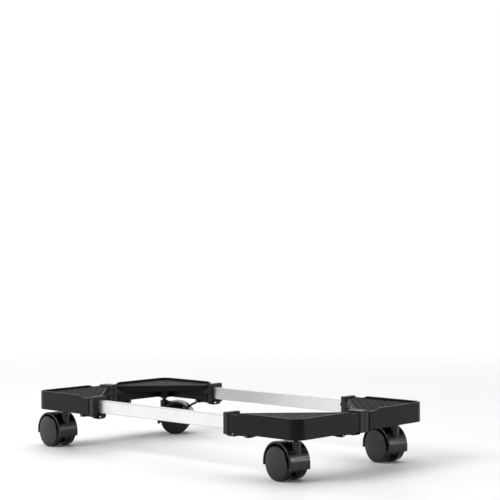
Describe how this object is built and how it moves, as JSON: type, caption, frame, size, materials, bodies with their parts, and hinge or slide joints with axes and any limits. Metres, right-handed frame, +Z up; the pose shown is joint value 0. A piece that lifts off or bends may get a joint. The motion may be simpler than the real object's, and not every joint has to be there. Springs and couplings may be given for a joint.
{
  "type": "cpu holder",
  "caption": "Adjustable rolling floor stand for a computer tower: rimmed corner trays on sliding flat bars, with lock levers and hooded swivel casters.",
  "frame": {"origin": "on the floor under the middle of the whole footprint at rest, casters included", "axes": "+Z up; front towards -Y; +X to the right as seen from the front"},
  "size_m": [0.2303, 0.4559, 0.071],
  "materials": {
    "tray_plastic": "black, fine moulded grain",
    "guide_plastic": "black, slightly lighter than the trays",
    "lever_plastic": "black, satin",
    "pad_rubber": "dark, diamond mesh texture",
    "bar_metal": "satin anodised",
    "caster_nylon": "black, semi-gloss",
    "wheel_nylon": "black, satin",
    "stem_steel": "black oxide",
    "screw_steel": "plated"
  },
  "bodies": {
    "frame_front_left": {"tray_front_left": "tray_plastic", "pad_front_left": "pad_rubber", "bush_front_left": "stem_steel", "stem_front_left": "stem_steel", "guide_side_front_left": "guide_plastic", "guide_end_front_left": "guide_plastic", "lock_pins_front_left": "screw_steel", "bar_left": "bar_metal"},
    "caster_front_left": {"hood_front_left": "caster_nylon", "axle_front_left": "stem_steel"},
    "wheel_a_front_left": {"wheel_a_front_left": "wheel_nylon"},
    "wheel_b_front_left": {"wheel_b_front_left": "wheel_nylon"},
    "frame_rear_left": {"tray_rear_left": "tray_plastic", "pad_rear_left": "pad_rubber", "bush_rear_left": "stem_steel", "stem_rear_left": "stem_steel", "guide_side_rear_left": "guide_plastic", "guide_end_rear_left": "guide_plastic", "screws_rear_left": "screw_steel", "lock_pins_rear_left": "screw_steel", "bar_rear": "bar_metal"},
    "caster_rear_left": {"hood_rear_left": "caster_nylon", "axle_rear_left": "stem_steel"},
    "wheel_a_rear_left": {"wheel_a_rear_left": "wheel_nylon"},
    "wheel_b_rear_left": {"wheel_b_rear_left": "wheel_nylon"},
    "frame_front_right": {"tray_front_right": "tray_plastic", "pad_front_right": "pad_rubber", "bush_front_right": "stem_steel", "stem_front_right": "stem_steel", "guide_side_front_right": "guide_plastic", "guide_end_front_right": "guide_plastic", "screws_front_right": "screw_steel", "lock_pins_front_right": "screw_steel", "bar_front": "bar_metal", "bar_right": "bar_metal"},
    "caster_front_right": {"hood_front_right": "caster_nylon", "axle_front_right": "stem_steel"},
    "wheel_a_front_right": {"wheel_a_front_right": "wheel_nylon"},
    "wheel_b_front_right": {"wheel_b_front_right": "wheel_nylon"},
    "frame_rear_right": {"tray_rear_right": "tray_plastic", "pad_rear_right": "pad_rubber", "bush_rear_right": "stem_steel", "stem_rear_right": "stem_steel", "guide_side_rear_right": "guide_plastic", "guide_end_rear_right": "guide_plastic", "lock_pins_rear_right": "screw_steel"},
    "caster_rear_right": {"hood_rear_right": "caster_nylon", "axle_rear_right": "stem_steel"},
    "wheel_a_rear_right": {"wheel_a_rear_right": "wheel_nylon"},
    "wheel_b_rear_right": {"wheel_b_rear_right": "wheel_nylon"},
    "brake_rear_right": {"brake_pedal_rear_right": "lever_plastic"},
    "lock_side_front_left": {"lever_side_front_left": "lever_plastic"},
    "lock_end_front_left": {"lever_end_front_left": "lever_plastic"},
    "lock_side_rear_left": {"lever_side_rear_left": "lever_plastic"},
    "lock_side_front_right": {"lever_side_front_right": "lever_plastic"},
    "lock_side_rear_right": {"lever_side_rear_right": "lever_plastic"},
    "lock_end_rear_right": {"lever_end_rear_right": "lever_plastic"}
  },
  "joints": [
    {"name": "swivel_front_left", "type": "hinge", "parent": "frame_front_left", "child": "caster_front_left", "pos_m": [-0.09, -0.2028, 0.03], "axis": [0, 0, 1], "continuous": true},
    {"name": "roll_a_front_left", "type": "hinge", "parent": "caster_front_left", "child": "wheel_a_front_left", "pos_m": [-0.08749, -0.18659, 0.019], "axis": [0.9882, -0.153, 0], "continuous": true},
    {"name": "roll_b_front_left", "type": "hinge", "parent": "caster_front_left", "child": "wheel_b_front_left", "pos_m": [-0.08749, -0.18659, 0.019], "axis": [0.9882, -0.153, 0], "continuous": true},
    {"name": "swivel_rear_left", "type": "hinge", "parent": "frame_rear_left", "child": "caster_rear_left", "pos_m": [-0.09, 0.1868, 0.03], "axis": [0, 0, 1], "continuous": true},
    {"name": "roll_a_rear_left", "type": "hinge", "parent": "caster_rear_left", "child": "wheel_a_rear_left", "pos_m": [-0.089, 0.20317, 0.019], "axis": [0.9981, -0.061, 0], "continuous": true},
    {"name": "roll_b_rear_left", "type": "hinge", "parent": "caster_rear_left", "child": "wheel_b_rear_left", "pos_m": [-0.089, 0.20317, 0.019], "axis": [0.9981, -0.061, 0], "continuous": true},
    {"name": "swivel_front_right", "type": "hinge", "parent": "frame_front_right", "child": "caster_front_right", "pos_m": [0.0796, -0.2028, 0.03], "axis": [0, 0, 1], "continuous": true},
    {"name": "roll_a_front_right", "type": "hinge", "parent": "caster_front_right", "child": "wheel_a_front_right", "pos_m": [0.08245, -0.18665, 0.019], "axis": [0.9848, -0.1736, 0], "continuous": true},
    {"name": "roll_b_front_right", "type": "hinge", "parent": "caster_front_right", "child": "wheel_b_front_right", "pos_m": [0.08245, -0.18665, 0.019], "axis": [0.9848, -0.1736, 0], "continuous": true},
    {"name": "swivel_rear_right", "type": "hinge", "parent": "frame_rear_right", "child": "caster_rear_right", "pos_m": [0.0796, 0.1868, 0.03], "axis": [0, 0, 1], "continuous": true},
    {"name": "roll_a_rear_right", "type": "hinge", "parent": "caster_rear_right", "child": "wheel_a_rear_right", "pos_m": [0.0897, 0.17388, 0.019], "axis": [-0.788, -0.6157, 0], "continuous": true},
    {"name": "roll_b_rear_right", "type": "hinge", "parent": "caster_rear_right", "child": "wheel_b_rear_right", "pos_m": [0.0897, 0.17388, 0.019], "axis": [-0.788, -0.6157, 0], "continuous": true},
    {"name": "brake_rear_right", "type": "hinge", "parent": "caster_rear_right", "child": "brake_rear_right", "pos_m": [0.0988, 0.16222, 0.03542], "axis": [0.788, 0.6157, 0], "range_deg": [0, 14]},
    {"name": "lock_side_front_left", "type": "hinge", "parent": "frame_front_left", "child": "lock_side_front_left", "pos_m": [-0.1032, -0.1475, 0.0456], "axis": [-1, 0, 0], "range_deg": [0, 12]},
    {"name": "lock_end_front_left", "type": "hinge", "parent": "frame_front_left", "child": "lock_end_front_left", "pos_m": [-0.0347, -0.216, 0.0456], "axis": [0, 1, 0], "range_deg": [0, 12]},
    {"name": "lock_side_rear_left", "type": "hinge", "parent": "frame_rear_left", "child": "lock_side_rear_left", "pos_m": [-0.1032, 0.1315, 0.0456], "axis": [1, 0, 0], "range_deg": [0, 12]},
    {"name": "lock_side_front_right", "type": "hinge", "parent": "frame_front_right", "child": "lock_side_front_right", "pos_m": [0.0928, -0.1475, 0.0456], "axis": [-1, 0, 0], "range_deg": [0, 12]},
    {"name": "lock_side_rear_right", "type": "hinge", "parent": "frame_rear_right", "child": "lock_side_rear_right", "pos_m": [0.0928, 0.1315, 0.0456], "axis": [1, 0, 0], "range_deg": [0, 12]},
    {"name": "lock_end_rear_right", "type": "hinge", "parent": "frame_rear_right", "child": "lock_end_rear_right", "pos_m": [0.0243, 0.2, 0.0456], "axis": [0, -1, 0], "range_deg": [0, 12]},
    {"name": "length_slide", "type": "slide", "parent": "frame_front_left", "child": "frame_rear_left", "axis": [0, 1, 0], "range_m": [-0.029, 0.035]},
    {"name": "width_slide", "type": "slide", "parent": "frame_front_left", "child": "frame_front_right", "axis": [1, 0, 0], "range_m": [0, 0.064]},
    {"name": "length_slide_right", "type": "slide", "parent": "frame_front_right", "child": "frame_rear_right", "axis": [0, 1, 0], "range_m": [-0.029, 0.035]}
  ],
  "couplings": [
    {"joint": "length_slide_right", "follows": "length_slide", "ratio": 1}
  ]
}
